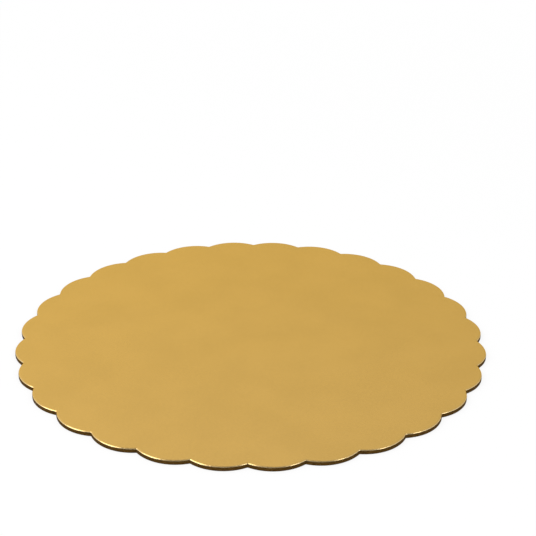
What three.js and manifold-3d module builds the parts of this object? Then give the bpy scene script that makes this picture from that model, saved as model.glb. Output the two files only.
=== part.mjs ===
// Round cake board with a scalloped rim: one sheet of solid board, faced with gold foil and die-cut.
// Millimetres, +Z up. The origin is the centre of the underside, and a notch of the rim lies on -Y.
import * as THREE from "three";
import { mergeVertices } from "three/addons/utils/BufferGeometryUtils.js";
import Module from "manifold-3d";

const wasm = await Module();
wasm.setup();

// Driving dimensions
const DIAMETER = 240; // across the crowns of the scallops
const THICKNESS = 2.4; // underside to foil face
const SCALLOPS = 28; // round the whole rim
const SCALLOP_DEPTH = 3.6; // from the crown circle in to the foot of a notch
const NOTCH_RADIUS = 0.6; // rounding at the foot of a notch, left by the bent cutting rule
const ARRIS_RADIUS = 0.9; // rolled top edge, where the cutting rule pressed the foil over

// Finish of the foil
const FOIL_COLOUR = 0xcda757;
const FOIL_ROUGHNESS = 0.3;
const FOIL_METALNESS = 0.9;

// Fineness of the round stretches
const SCALLOP_STEPS = 11;
const NOTCH_STEPS = 3;
const ARRIS_STEPS = 4;

// Each scallop is one arc that touches the crown circle, and a small arc joins it to the next one.
function rimPoints() {
  const crown = DIAMETER / 2;
  const halfPitch = Math.PI / SCALLOPS;
  const notchCentre = crown - SCALLOP_DEPTH + NOTCH_RADIUS;
  const along = notchCentre * Math.cos(halfPitch);
  const across = notchCentre * Math.sin(halfPitch);
  // The scallop's radius is the one that makes the two arcs tangent
  const scallopRadius =
    (notchCentre ** 2 - 2 * along * crown + crown ** 2 - NOTCH_RADIUS ** 2) /
    (2 * (crown + NOTCH_RADIUS - along));
  const scallopCentre = crown - scallopRadius;
  const sweep = Math.atan2(across, along - scallopCentre);

  const points = [];
  for (let i = 0; i < SCALLOPS; i++) {
    // The first notch is on -Y, half a pitch before the first scallop
    const facing = -Math.PI / 2 + (2 * i + 1) * halfPitch;
    const scallop = arc(scallopCentre, facing, scallopRadius, facing - sweep, facing + sweep, false);
    const notchFacing = facing + halfPitch;
    const lean = sweep - halfPitch;
    const inward = notchFacing + Math.PI;
    const notch = arc(notchCentre, notchFacing, NOTCH_RADIUS, inward + lean, inward - lean, true);
    // The last point of each arc is the first of the next
    points.push(...scallop.getPoints(SCALLOP_STEPS).slice(0, -1));
    points.push(...notch.getPoints(NOTCH_STEPS).slice(0, -1));
  }
  return points;
}

// An arc whose centre lies at a distance from the origin, in the direction that it faces.
function arc(distance, facing, radius, start, end, clockwise) {
  const x = distance * Math.cos(facing);
  const y = distance * Math.sin(facing);
  return new THREE.EllipseCurve(x, y, radius, radius, start, end, clockwise);
}

// The board with a rolled edge above and below: the lower roll lies under the underside, to be cut away.
function rolledBlank() {
  const blank = new THREE.ExtrudeGeometry(new THREE.Shape(rimPoints()), {
    depth: THICKNESS,
    steps: 1,
    bevelEnabled: true,
    bevelSize: ARRIS_RADIUS,
    bevelOffset: -ARRIS_RADIUS,
    bevelThickness: ARRIS_RADIUS,
    bevelSegments: ARRIS_STEPS,
  });
  return blank.translate(0, 0, -ARRIS_RADIUS);
}

// A cube wider than the board, with its top face on the underside: cut away, it leaves a crisp lower edge.
function belowUnderside() {
  const side = 2 * DIAMETER;
  return new THREE.BoxGeometry(side, side, side).translate(0, 0, -side / 2);
}

function solidOf(geometry) {
  geometry.deleteAttribute("normal");
  geometry.deleteAttribute("uv");
  const merged = mergeVertices(geometry);
  return new wasm.Manifold(
    new wasm.Mesh({
      numProp: 3,
      vertProperties: merged.attributes.position.array,
      triVerts: new Uint32Array(merged.index.array),
    }),
  );
}

function geometryOf(solid) {
  const mesh = solid.getMesh();
  const geometry = new THREE.BufferGeometry();
  geometry.setAttribute("position", new THREE.BufferAttribute(mesh.vertProperties, 3));
  geometry.setIndex(new THREE.BufferAttribute(mesh.triVerts, 1));
  const faceted = geometry.toNonIndexed();
  faceted.computeVertexNormals();
  return faceted;
}

function cakeBoard() {
  const solid = solidOf(rolledBlank()).subtract(solidOf(belowUnderside()));
  const foil = new THREE.MeshStandardMaterial({
    color: FOIL_COLOUR,
    roughness: FOIL_ROUGHNESS,
    metalness: FOIL_METALNESS,
  });
  const board = new THREE.Mesh(geometryOf(solid), foil);
  board.name = "cake_board";
  return board;
}

const group = new THREE.Group();
group.add(cakeBoard());

export default group;
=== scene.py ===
"""A die-cut cake board with a scalloped rim and a gold foil face, on a plain pale floor.

Lengths are in metres, +Z is up, and the origin is the centre of the underside.
"""

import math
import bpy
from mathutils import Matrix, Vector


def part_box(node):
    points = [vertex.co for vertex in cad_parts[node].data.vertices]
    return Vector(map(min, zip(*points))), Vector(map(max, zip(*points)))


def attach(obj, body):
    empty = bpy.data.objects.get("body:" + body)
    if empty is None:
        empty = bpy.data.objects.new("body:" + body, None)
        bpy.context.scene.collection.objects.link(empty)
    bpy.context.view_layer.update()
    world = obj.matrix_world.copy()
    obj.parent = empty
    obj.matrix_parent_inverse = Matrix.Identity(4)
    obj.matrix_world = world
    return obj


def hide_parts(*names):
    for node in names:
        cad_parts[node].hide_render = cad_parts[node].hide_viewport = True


bl_info = {
    "name": "Scalloped Cake Board",
    "version": (1, 0, 0),
    "blender": (4, 5, 0),
    "location": "View3D > Sidebar > Cake Board",
    "description": "Models a foil-faced cake board with a scalloped rim, and the studio round it",
    "category": "Add Mesh",
}

import bmesh
import bpy
from bpy.props import FloatProperty, FloatVectorProperty, IntProperty, PointerProperty
from mathutils import Matrix, Vector

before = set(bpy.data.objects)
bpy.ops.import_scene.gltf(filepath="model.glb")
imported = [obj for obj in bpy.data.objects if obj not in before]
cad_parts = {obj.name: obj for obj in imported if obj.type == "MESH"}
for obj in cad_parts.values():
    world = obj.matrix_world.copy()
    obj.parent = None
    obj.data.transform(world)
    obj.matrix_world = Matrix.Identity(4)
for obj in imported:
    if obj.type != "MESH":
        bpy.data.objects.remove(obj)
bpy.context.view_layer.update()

NODE = "cake_board"
CAD_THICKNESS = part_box(NODE)[1].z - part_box(NODE)[0].z

# Vertices this close are one, and faces this close to a height lie at it
JOIN_DISTANCE = 1e-5

# The board's finishes, in the order of its material slots
FACE_SLOT, RIM_SLOT, BACK_SLOT = range(3)

# Sockets of a Mix node that is set to colours
MIX_FACTOR, MIX_FIRST, MIX_SECOND, MIX_RESULT = 0, 6, 7, 2

# Relief of the foil, as shares of the height of its pebbles
FIBRE_RELIEF = 0.10
WAVE_RELIEF = 3.0

# Fibres across a pebble, and the width of a wave of the sheet
FIBRES_PER_PEBBLE = 4
WAVE_SIZE = 0.045

# The torn edge of the foil: its teeth, its blur, and how far down the stretched foil begins
TOOTH_HEIGHT = 0.00028
TEAR_BLUR = 0.00005
STRETCH_START = 0.00008

# Relief of the bare board, on its cut edge and underneath
PLY_HEIGHT = 0.00008
CUT_FIBRE_HEIGHT = 0.00004
STRAND_HEIGHT = 0.00004
DENT_HEIGHT = 0.00003

# Mean roughness of the bare board
CUT_ROUGHNESS = 0.85
BACK_ROUGHNESS = 0.89

# How much the roughness changes from the least to the most of a pattern
CLOUD_SWING = 0.04
SPECK_SWING = 0.06
STRAND_SWING = 0.10

# How far a fleck hides the board's colour
FLECK_COVER = 0.55

# The floor, which lies a hair below the board, and the white of the studio
FLOOR_MIDDLE = (0.0, 0.0, 0.0)
FLOOR_REACH = 8.0
FLOOR_GAP = 0.00002
WHITE = (1.0, 1.0, 1.0, 1.0)

# Width of the camera's sensor, in millimetres
SENSOR_WIDTH = 36.0


# Settings

class BoardSizes(bpy.types.PropertyGroup):
    diameter: FloatProperty(
        name="Diameter",
        description="Across the crowns of the scallops, a hair inside the CAD model's",
        default=0.2399,
        min=0.1,
        unit="LENGTH",
    )
    thickness: FloatProperty(
        name="Thickness",
        description="From the underside to the foil face",
        default=CAD_THICKNESS,
        min=0.001,
        precision=4,
        unit="LENGTH",
    )
    scallops: IntProperty(
        name="Scallops",
        description="Number of scallops round the rim",
        default=28,
        min=8,
    )
    scallop_depth: FloatProperty(
        name="Scallop depth",
        description="From the crown circle in to the foot of a notch",
        default=0.0036,
        min=0.001,
        precision=4,
        unit="LENGTH",
    )
    notch_radius: FloatProperty(
        name="Notch radius",
        description="Rounding at the foot of a notch, left by the bent cutting rule",
        default=0.0006,
        min=0.0001,
        precision=4,
        unit="LENGTH",
    )
    arris_radius: FloatProperty(
        name="Rolled edge",
        description="Radius of the top edge, where the cutting rule pressed the foil over",
        default=0.0009,
        min=0.0001,
        precision=4,
        unit="LENGTH",
    )
    lower_edge_radius: FloatProperty(
        name="Lower edge",
        description="Slight softening of the cut edge where it meets the underside",
        default=0.00012,
        min=0.00002,
        precision=5,
        unit="LENGTH",
    )
    face_margin: FloatProperty(
        name="Face margin",
        description="Width of the flat ring that parts each face from its edge rounding",
        default=0.0004,
        min=0.0001,
        precision=4,
        unit="LENGTH",
    )
    scallop_steps: IntProperty(
        name="Scallop steps",
        description="Straight steps along the arc of one scallop",
        default=36,
        min=6,
    )
    notch_steps: IntProperty(
        name="Notch steps",
        description="Straight steps round the foot of one notch",
        default=6,
        min=2,
    )
    arris_steps: IntProperty(
        name="Rolled edge steps",
        description="Straight steps round the rolled edge",
        default=8,
        min=2,
    )
    lower_edge_steps: IntProperty(
        name="Lower edge steps",
        description="Straight steps round the softened lower edge",
        default=2,
        min=1,
    )


class BoardFinish(bpy.types.PropertyGroup):
    foil_colour: FloatVectorProperty(
        name="Foil",
        description="Colour of the gold foil",
        subtype="COLOR",
        default=(0.573, 0.362, 0.106),
        min=0.0,
        max=1.0,
    )
    foil_edge_tint: FloatVectorProperty(
        name="Foil at a slant",
        description="Tint of the gold where it is seen at a low angle",
        subtype="COLOR",
        default=(1.0, 0.80, 0.44),
        min=0.0,
        max=1.0,
    )
    foil_roughness: FloatProperty(
        name="Foil roughness",
        description="Mean roughness of the satin foil",
        subtype="FACTOR",
        default=0.19,
        min=0.0,
        max=1.0,
    )
    pressed_colour: FloatVectorProperty(
        name="Pressed foil",
        description="Paler gold of the foil where the rolled edge has stretched it",
        subtype="COLOR",
        default=(0.860, 0.670, 0.370),
        min=0.0,
        max=1.0,
    )
    # Painted shade: this dark brown is partly the brown of the cut fibres and partly shade painted
    # onto the cut edge
    core_and_shade_colour: FloatVectorProperty(
        name="Core",
        description="Colour of the pressed board where it is cut through",
        subtype="COLOR",
        default=(0.075, 0.037, 0.006),
        min=0.0,
        max=1.0,
    )
    back_colour: FloatVectorProperty(
        name="Back",
        description="Colour of the bare board underneath",
        subtype="COLOR",
        default=(0.330, 0.250, 0.165),
        min=0.0,
        max=1.0,
    )
    foil_wrap: FloatProperty(
        name="Foil wrap",
        description="How far down from the face the foil reaches before the cut",
        default=0.00050,
        min=0.0,
        precision=5,
        unit="LENGTH",
    )
    grain_size: FloatProperty(
        name="Grain size",
        description="Size of the pebbles that the board's fibres raise in the foil",
        default=0.0016,
        min=0.0002,
        precision=4,
        unit="LENGTH",
    )
    grain_height: FloatProperty(
        name="Grain height",
        description="The most that those pebbles can rise from trough to crest",
        default=0.000100,
        min=0.0,
        precision=6,
        unit="LENGTH",
    )


class StudioSettings(bpy.types.PropertyGroup):
    camera_place: FloatVectorProperty(
        name="Camera",
        description="Where the camera stands",
        subtype="TRANSLATION",
        unit="LENGTH",
        default=(0.0085, -0.6840, 0.3708),
    )
    camera_tilt: FloatProperty(
        name="Tilt",
        description="Angle of the camera's view from straight down",
        subtype="ANGLE",
        default=math.radians(64.39),
    )
    camera_roll: FloatProperty(
        name="Roll",
        description="Turn of the camera about its view",
        subtype="ANGLE",
        default=math.radians(0.35),
    )
    focal_length: FloatProperty(
        name="Focal length",
        description="Focal length of the lens on a sensor 36 mm wide",
        default=101.4,
        min=10.0,
        unit="CAMERA",
    )
    key_power: FloatProperty(
        name="Key light",
        description="Power of the soft light on the left",
        default=10.0,
        min=0.0,
        unit="POWER",
    )
    fill_power: FloatProperty(
        name="Fill light",
        description="Power of the soft light on the right",
        default=3.0,
        min=0.0,
        unit="POWER",
    )
    ambient: FloatProperty(
        name="Ambient",
        description="Strength of the even light from all round",
        subtype="FACTOR",
        default=0.85,
        min=0.0,
        max=1.0,
    )
    floor_colour: FloatVectorProperty(
        name="Floor",
        description="Colour of the floor",
        subtype="COLOR",
        default=(0.95, 0.95, 0.95),
        min=0.0,
        max=1.0,
    )


# Node trees

class Signal:
    """A value in a node tree. Arithmetic on it adds the Math nodes that work it out."""

    def __init__(self, tree, socket):
        self.tree = tree
        self.socket = socket

    def __add__(self, other):
        return self.tree.maths("ADD", self, other)

    def __sub__(self, other):
        return self.tree.maths("SUBTRACT", self, other)

    def __mul__(self, other):
        return self.tree.maths("MULTIPLY", self, other)

    def __radd__(self, other):
        return self.tree.maths("ADD", other, self)

    def __rsub__(self, other):
        return self.tree.maths("SUBTRACT", other, self)

    def __rmul__(self, other):
        return self.tree.maths("MULTIPLY", other, self)

    def clamped(self):
        """This value, held between 0 and 1."""
        return self.tree.add("ShaderNodeClamp", {}, {"Value": self})

    def ramp(self, start, end, first=0.0, last=1.0):
        """From first where this is start to last where it is end, smooth between, level outside."""
        settings = {"interpolation_type": "SMOOTHSTEP"}
        inputs = {"Value": self, "From Min": start, "From Max": end, "To Min": first, "To Max": last}
        return self.tree.add("ShaderNodeMapRange", settings, inputs, "Result")


class Tree:
    """The node tree of a material or of the world, emptied and ready to be built."""

    def __init__(self, owner):
        owner.use_nodes = True
        self.tree = owner.node_tree
        self.tree.nodes.clear()

    def add(self, kind, settings, inputs, output=0):
        """Adds a node, makes its settings first, fills its sockets, and returns one output."""
        node = self.tree.nodes.new(kind)
        for name, value in settings.items():
            setattr(node, name, value)
        for name, value in inputs.items():
            if isinstance(value, Signal):
                self.tree.links.new(value.socket, node.inputs[name])
            else:
                node.inputs[name].default_value = value
        return Signal(self, node.outputs[output]) if len(node.outputs) else None

    def maths(self, operation, first, second):
        return self.add("ShaderNodeMath", {"operation": operation}, {0: first, 1: second})

    def blend(self, factor, first, second):
        """The first colour where the factor is 0, and the second where it is 1."""
        settings = {"data_type": "RGBA"}
        inputs = {MIX_FACTOR: factor, MIX_FIRST: first, MIX_SECOND: second}
        return self.add("ShaderNodeMix", settings, inputs, MIX_RESULT)

    def shades(self, factor, colour, darkest, lightest):
        """A colour that goes from its darkest shade to its lightest as the factor rises."""
        return self.blend(factor, shade(colour, darkest), shade(colour, lightest))

    def place(self):
        """The place on the piece that the material covers, in metres."""
        return self.add("ShaderNodeTexCoord", {}, {}, "Object")

    def squeezed(self, vector, factors):
        """A place on which a pattern is finer along each axis by these factors."""
        return self.add("ShaderNodeMapping", {}, {"Vector": vector, "Scale": factors})

    def noise(self, vector, size, detail=2.0, roughness=0.5):
        """Soft noise whose spots are about as wide as size, in metres."""
        inputs = {"Vector": vector, "Scale": 1.0 / size, "Detail": detail, "Roughness": roughness}
        return self.add("ShaderNodeTexNoise", {}, inputs, "Fac")

    def apart(self, vector, point):
        """How far a vector lies from a point."""
        settings = {"operation": "DISTANCE"}
        return self.add("ShaderNodeVectorMath", settings, {0: vector, 1: point}, "Value")

    def part(self, vector, axis):
        return self.add("ShaderNodeSeparateXYZ", {}, {"Vector": vector}, axis)

    def rays(self, *kinds):
        """1 on a ray of one of these kinds, and 0 on any other."""
        found = sum(self.add("ShaderNodeLightPath", {}, {}, f"Is {kind} Ray") for kind in kinds)
        return found.clamped()

    def bump(self, height):
        """A normal bent by a height that is in metres."""
        inputs = {"Strength": 1.0, "Distance": 1.0, "Height": height}
        return self.add("ShaderNodeBump", {}, inputs, "Normal")

    def surface(self, **sockets):
        """A Principled surface, with the sockets given by name and _ for a space."""
        inputs = {name.replace("_", " "): value for name, value in sockets.items()}
        shader = self.add("ShaderNodeBsdfPrincipled", {}, inputs)
        self.add("ShaderNodeOutputMaterial", {}, {"Surface": shader})


def between(first, second, share):
    """The first value where the share is 0, the second where it is 1, and a blend between."""
    return first * (1.0 - share) + second * share


def opaque(colour):
    """A colour with the alpha that a colour socket expects."""
    return (*colour, 1.0)


def shade(colour, amount):
    """The same colour, lighter or darker by a share."""
    return opaque(min(1.0, part * amount) for part in colour)


def new_finish(name):
    """A new material, its node tree, and the place on the piece that it covers."""
    material = bpy.data.materials.new(name)
    tree = Tree(material)
    return material, tree, tree.place()


# Finishes of the board

def foil_grain(tree, place, finish):
    """Height of the foil: pebbles from the fibres below it, on very slight waves of the sheet."""
    pebbles = tree.noise(place, size=finish.grain_size, detail=1.5, roughness=0.45)
    fibres = tree.noise(place, size=finish.grain_size / FIBRES_PER_PEBBLE, detail=1.0)
    waves = tree.noise(place, size=WAVE_SIZE, detail=1.0)
    return (pebbles + fibres * FIBRE_RELIEF + waves * WAVE_RELIEF) * finish.grain_height


def foil_tone(tree, place, finish):
    """Colour and roughness of the foil, a little uneven from the roll that pressed it on."""
    cloud = tree.noise(place, size=0.030, detail=3.0)
    speck = tree.noise(place, size=0.0007, detail=1.0)
    tone = between(cloud, speck, share=0.4).ramp(0.35, 0.65)
    colour = tree.shades(tone, finish.foil_colour, darkest=0.97, lightest=1.03)
    change = (cloud - 0.5) * CLOUD_SWING + (speck - 0.5) * SPECK_SWING
    return colour, finish.foil_roughness + change


def foil_face(finish):
    """Gold foil, as it lies flat on the board."""
    material, tree, place = new_finish("gold_foil")
    colour, roughness = foil_tone(tree, place, finish)
    tree.surface(
        Base_Color=colour,
        Metallic=1.0,
        Roughness=roughness,
        Specular_Tint=opaque(finish.foil_edge_tint),
        Normal=tree.bump(foil_grain(tree, place, finish)),
    )
    return material


def cut_rim(finish, thickness):
    """The rim: foil rolled over the top edge and torn along a line, and cut fibres below it,
    darkened with painted shade.
    """
    material, tree, place = new_finish("cut_rim")

    # The foil ends at a ragged line, and grows paler from near the face down to it
    teeth = tree.noise(place, size=0.0011, detail=3.0, roughness=0.6) - 0.5
    level = tree.part(place, "Z") + teeth * TOOTH_HEIGHT
    line = thickness - finish.foil_wrap
    foil = level.ramp(line - TEAR_BLUR, line + TEAR_BLUR)
    pressed = level.ramp(line, thickness - STRETCH_START, first=1.0, last=0.0)
    flat_colour, foil_roughness = foil_tone(tree, place, finish)
    foil_colour = tree.blend(pressed, flat_colour, opaque(finish.pressed_colour))

    # The cut shows the plies of the board as thin flat layers, and the fibres in them
    plies = tree.noise(tree.squeezed(place, (1.0, 1.0, 9.0)), size=0.0022, detail=3.0, roughness=0.6)
    fibres = tree.noise(tree.squeezed(place, (1.0, 1.0, 3.0)), size=0.0005)
    tone = between(plies, fibres, share=0.35).ramp(0.34, 0.66)
    # The core's dark colour is partly painted shade on the cut edge, as well as the brown of its
    # fibres
    core_and_shade_colour = tree.shades(tone, finish.core_and_shade_colour, darkest=0.55, lightest=1.45)
    core_relief = plies * PLY_HEIGHT + fibres * CUT_FIBRE_HEIGHT

    relief = between(core_relief, foil_grain(tree, place, finish), foil)
    tree.surface(
        Base_Color=tree.blend(foil, core_and_shade_colour, foil_colour),
        Metallic=foil,
        Roughness=between(CUT_ROUGHNESS, foil_roughness, foil),
        Specular_IOR_Level=0.1,
        Specular_Tint=opaque(finish.foil_edge_tint),
        Normal=tree.bump(relief),
    )
    return material


def bare_back(finish):
    """The bare board underneath: pressed waste fibres, with flecks and a faint cloud."""
    material, tree, place = new_finish("bare_back")
    cloud = tree.noise(place, size=0.022, detail=4.0, roughness=0.6)
    drawn_out = tree.squeezed(place, (1.0, 0.22, 1.0))
    strands = tree.noise(drawn_out, size=0.0009, detail=3.0, roughness=0.6)
    flecks = tree.noise(place, size=0.0013, detail=1.0).ramp(0.70, 0.76)
    tone = between(cloud, strands, share=0.5).ramp(0.30, 0.70)
    board_colour = tree.shades(tone, finish.back_colour, darkest=0.86, lightest=1.12)
    fleck_colour = shade(finish.back_colour, 0.45)
    tree.surface(
        Base_Color=tree.blend(flecks * FLECK_COVER, board_colour, fleck_colour),
        Metallic=0.0,
        Roughness=BACK_ROUGHNESS + (strands - 0.5) * STRAND_SWING,
        Normal=tree.bump(strands * STRAND_HEIGHT + cloud * DENT_HEIGHT),
    )
    return material


# Meshes and objects

def add_object(scene, name, bm, finishes):
    """Makes a bmesh into an object of the scene, with its finishes, and frees the bmesh."""
    mesh = bpy.data.meshes.new(name)
    bm.to_mesh(mesh)
    bm.free()
    for finish in finishes:
        mesh.materials.append(finish)
    made = bpy.data.objects.new(name, mesh)
    scene.collection.objects.link(made)
    return made


def turned(distance, angle):
    """The point at a distance from the origin, in a direction on the floor."""
    return Vector((distance * math.cos(angle), distance * math.sin(angle), 0.0))


def at_height(z, height):
    return abs(z - height) < JOIN_DISTANCE


def swing(bm, vertex, centre, angle, steps):
    """Draws an arc from a vertex round a centre, and returns the vertex at its end."""
    made = bmesh.ops.spin(
        bm,
        geom=[vertex],
        cent=centre,
        axis=(0.0, 0.0, 1.0),
        dvec=(0.0, 0.0, 0.0),
        angle=angle,
        steps=steps,
    )
    return next(end for end in made["geom_last"] if isinstance(end, bmesh.types.BMVert))


# The board

def draw_rim(bm, sizes):
    """Draws the scalloped outline: a wide arc for each scallop, and a small one in each notch."""
    crown = sizes.diameter / 2
    half_pitch = math.pi / sizes.scallops
    notch_centre = crown - sizes.scallop_depth + sizes.notch_radius
    along = notch_centre * math.cos(half_pitch)
    across = notch_centre * math.sin(half_pitch)

    # The wide arc reaches out to the crown and runs smoothly into the small arcs beside it
    radius = (notch_centre**2 - 2 * along * crown + crown**2 - sizes.notch_radius**2) / (
        2 * (crown + sizes.notch_radius - along)
    )
    centre = crown - radius
    sweep = math.atan2(across, along - centre)

    facing = -math.pi / 2 + half_pitch
    pen = bm.verts.new(turned(centre, facing) + turned(radius, facing - sweep))
    for _ in range(sizes.scallops):
        pen = swing(bm, pen, turned(centre, facing), 2 * sweep, sizes.scallop_steps)
        notch = turned(notch_centre, facing + half_pitch)
        pen = swing(bm, pen, notch, 2 * (half_pitch - sweep), sizes.notch_steps)
        facing += 2 * half_pitch
    bmesh.ops.remove_doubles(bm, verts=bm.verts[:], dist=JOIN_DISTANCE)


def round_edge(bm, height, radius, steps):
    """Rounds the sharp edge that runs all round the board at a height."""
    sharp = [
        edge
        for edge in bm.edges
        if all(at_height(vertex.co.z, height) for vertex in edge.verts)
    ]
    bmesh.ops.bevel(
        bm,
        geom=sharp,
        offset=radius,
        offset_type="OFFSET",
        segments=steps,
        profile=0.5,
        affect="EDGES",
        material=-1,
    )


def inset_face(bm, height, margin):
    """Sets in the large flat face at a height, so that it shades flat inside its rounded edge."""
    flat = [face for face in bm.faces if at_height(face.calc_center_median().z, height)]
    largest = max(flat, key=lambda face: face.calc_area())
    bmesh.ops.inset_region(bm, faces=[largest], thickness=margin, use_even_offset=True)


def assign_slots(bm, thickness):
    """Gives the foil to the top, bare board to the underside, and the rim's finish to the rest."""
    for face in bm.faces:
        middle = face.calc_center_median().z
        if at_height(middle, thickness):
            face.material_index = FACE_SLOT
        elif at_height(middle, 0.0):
            face.material_index = BACK_SLOT
        else:
            face.material_index = RIM_SLOT


def board_shape(sizes):
    """The board as one closed sheet, drawn, raised, and rounded at its edges."""
    bm = bmesh.new()
    draw_rim(bm, sizes)
    outline = bmesh.ops.contextual_create(bm, geom=bm.edges[:])["faces"]
    raised = bmesh.ops.extrude_face_region(bm, geom=outline)["geom"]
    top = [item for item in raised if isinstance(item, bmesh.types.BMVert)]
    bmesh.ops.translate(bm, verts=top, vec=(0.0, 0.0, sizes.thickness))
    bmesh.ops.recalc_face_normals(bm, faces=bm.faces[:])

    round_edge(bm, sizes.thickness, sizes.arris_radius, sizes.arris_steps)
    round_edge(bm, 0.0, sizes.lower_edge_radius, sizes.lower_edge_steps)
    inset_face(bm, 0.0, sizes.face_margin)
    inset_face(bm, sizes.thickness, sizes.face_margin)

    assign_slots(bm, sizes.thickness)
    for face in bm.faces:
        face.smooth = True
    return bm


class CakeBoardModel(bpy.types.Operator):
    """Models the board as one die-cut sheet, with its foil, cut rim and bare back"""

    bl_idname = "cake_board.model"
    bl_label = "Scalloped board"

    def execute(self, context):
        scene = context.scene
        sizes = scene.cake_board_sizes
        finish = scene.cake_board_finish
        finishes = (foil_face(finish), cut_rim(finish, sizes.thickness), bare_back(finish))
        board = add_object(scene, "scalloped_board", board_shape(sizes), finishes)
        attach(board, "root")
        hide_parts(NODE)
        return {"FINISHED"}


# The studio

def floor_finish(colour):
    """Pale floor that the camera sees as white, with the shadow kept round the board."""
    material, tree, place = new_finish("studio_floor")
    matt = tree.add("ShaderNodeBsdfDiffuse", {}, {"Color": opaque(colour)})
    glow = tree.add("ShaderNodeEmission", {}, {"Color": WHITE, "Strength": 1.0})

    # Far from the board the floor is all glow, so that low views end in white
    share = tree.apart(place, FLOOR_MIDDLE).ramp(0.25, 0.80, first=0.84, last=1.0)
    seen = tree.rays("Camera", "Glossy", "Transmission")
    mixed = tree.add("ShaderNodeMixShader", {}, {0: seen * share, 1: matt, 2: glow})
    tree.add("ShaderNodeOutputMaterial", {}, {"Surface": mixed})
    return material


def floor_shape():
    """A wide square just below the board, so that the two faces don't coincide."""
    bm = bmesh.new()
    bmesh.ops.create_grid(bm, x_segments=1, y_segments=1, size=FLOOR_REACH)
    bmesh.ops.translate(bm, verts=bm.verts[:], vec=(0.0, 0.0, -FLOOR_GAP))
    return bm


def dim_patch(tree, direction, centre, inner, outer, brightness):
    """A patch round a direction that is this bright out to inner, and 1 from outer on."""
    return tree.apart(direction, centre).ramp(inner, outer, first=brightness, last=1.0)


def light_world(scene, ambient):
    """White to the camera, even light on what is matt, and uneven surroundings for the foil."""
    world = bpy.data.worlds.new("studio")
    scene.world = world
    tree = Tree(world)
    direction = tree.add("ShaderNodeTexCoord", {}, {}, "Generated")
    sideways = tree.part(direction, "X").ramp(-0.45, 0.45, first=1.135, last=0.865)
    upwards = tree.part(direction, "Z").ramp(-0.10, 0.62, first=0.85, last=1.07)
    room = dim_patch(tree, direction, (0.0, -0.80, 0.60), inner=0.45, outer=0.70, brightness=0.25)
    card = dim_patch(tree, direction, (-0.12, 0.14, 0.983), inner=0.12, outer=0.20, brightness=0.30)
    mirrored = sideways * upwards * room * card

    unseen = between(ambient, mirrored, tree.rays("Glossy"))
    strength = between(unseen, 1.0, tree.rays("Camera", "Transmission"))
    background = tree.add("ShaderNodeBackground", {}, {"Color": WHITE, "Strength": strength})
    tree.add("ShaderNodeOutputWorld", {}, {"Surface": background})


def softbox(scene, name, place, side, power):
    """A square soft light that faces the board, and that the camera doesn't see."""
    light = bpy.data.lights.new(name, "AREA")
    light.shape = "SQUARE"
    light.size = side
    light.energy = power
    lamp = bpy.data.objects.new(name, light)
    lamp.location = place
    lamp.rotation_euler = Vector(place).to_track_quat("Z", "Y").to_euler()
    lamp.visible_camera = False
    scene.collection.objects.link(lamp)


def aim_camera(scene, studio):
    """Stands the camera at its place, tilted up from straight down and then rolled."""
    camera = bpy.data.cameras.new("camera")
    camera.sensor_width = SENSOR_WIDTH
    camera.lens = studio.focal_length
    stand = bpy.data.objects.new("camera", camera)
    tilt = Matrix.Rotation(studio.camera_tilt, 4, "X")
    roll = Matrix.Rotation(studio.camera_roll, 4, "Z")
    stand.matrix_world = Matrix.Translation(studio.camera_place) @ tilt @ roll
    scene.collection.objects.link(stand)
    scene.camera = stand


class CakeBoardStudio(bpy.types.Operator):
    """Sets the plain pale floor, the soft lights, the white surroundings and the camera"""

    bl_idname = "cake_board.studio"
    bl_label = "Studio"

    def execute(self, context):
        scene = context.scene
        studio = scene.cake_board_studio
        finishes = (floor_finish(studio.floor_colour),)
        floor = add_object(scene, "studio_floor", floor_shape(), finishes)
        light_world(scene, studio.ambient)
        softbox(scene, "key_light", (-1.30, -0.35, 1.25), side=1.20, power=studio.key_power)
        softbox(scene, "fill_light", (1.30, -0.90, 1.20), side=0.60, power=studio.fill_power)
        aim_camera(scene, studio)
        scene.view_settings.view_transform = "Standard"
        return {"FINISHED"}


class CakeBoardPanel(bpy.types.Panel):
    """Lists the steps that make the board and its studio"""

    bl_idname = "VIEW3D_PT_cake_board"
    bl_label = "Cake Board"
    bl_space_type = "VIEW_3D"
    bl_region_type = "UI"
    bl_category = "Cake Board"

    def draw(self, context):
        scene = context.scene
        steps = (
            (scene.cake_board_sizes, CakeBoardModel),
            (scene.cake_board_finish, None),
            (scene.cake_board_studio, CakeBoardStudio),
        )
        for settings, operator in steps:
            box = self.layout.box()
            for name in settings.bl_rna.properties.keys():
                if name not in ("name", "rna_type"):
                    box.prop(settings, name)
            if operator:
                box.operator(operator.bl_idname)


CLASSES = (
    BoardSizes,
    BoardFinish,
    StudioSettings,
    CakeBoardModel,
    CakeBoardStudio,
    CakeBoardPanel,
)


def register():
    for cls in CLASSES:
        bpy.utils.register_class(cls)
    bpy.types.Scene.cake_board_sizes = PointerProperty(type=BoardSizes)
    bpy.types.Scene.cake_board_finish = PointerProperty(type=BoardFinish)
    bpy.types.Scene.cake_board_studio = PointerProperty(type=StudioSettings)


def unregister():
    del bpy.types.Scene.cake_board_studio
    del bpy.types.Scene.cake_board_finish
    del bpy.types.Scene.cake_board_sizes
    for cls in reversed(CLASSES):
        bpy.utils.unregister_class(cls)


def main():
    register()
    bpy.ops.cake_board.model()
    bpy.ops.cake_board.studio()


if __name__ == "__main__":
    main()
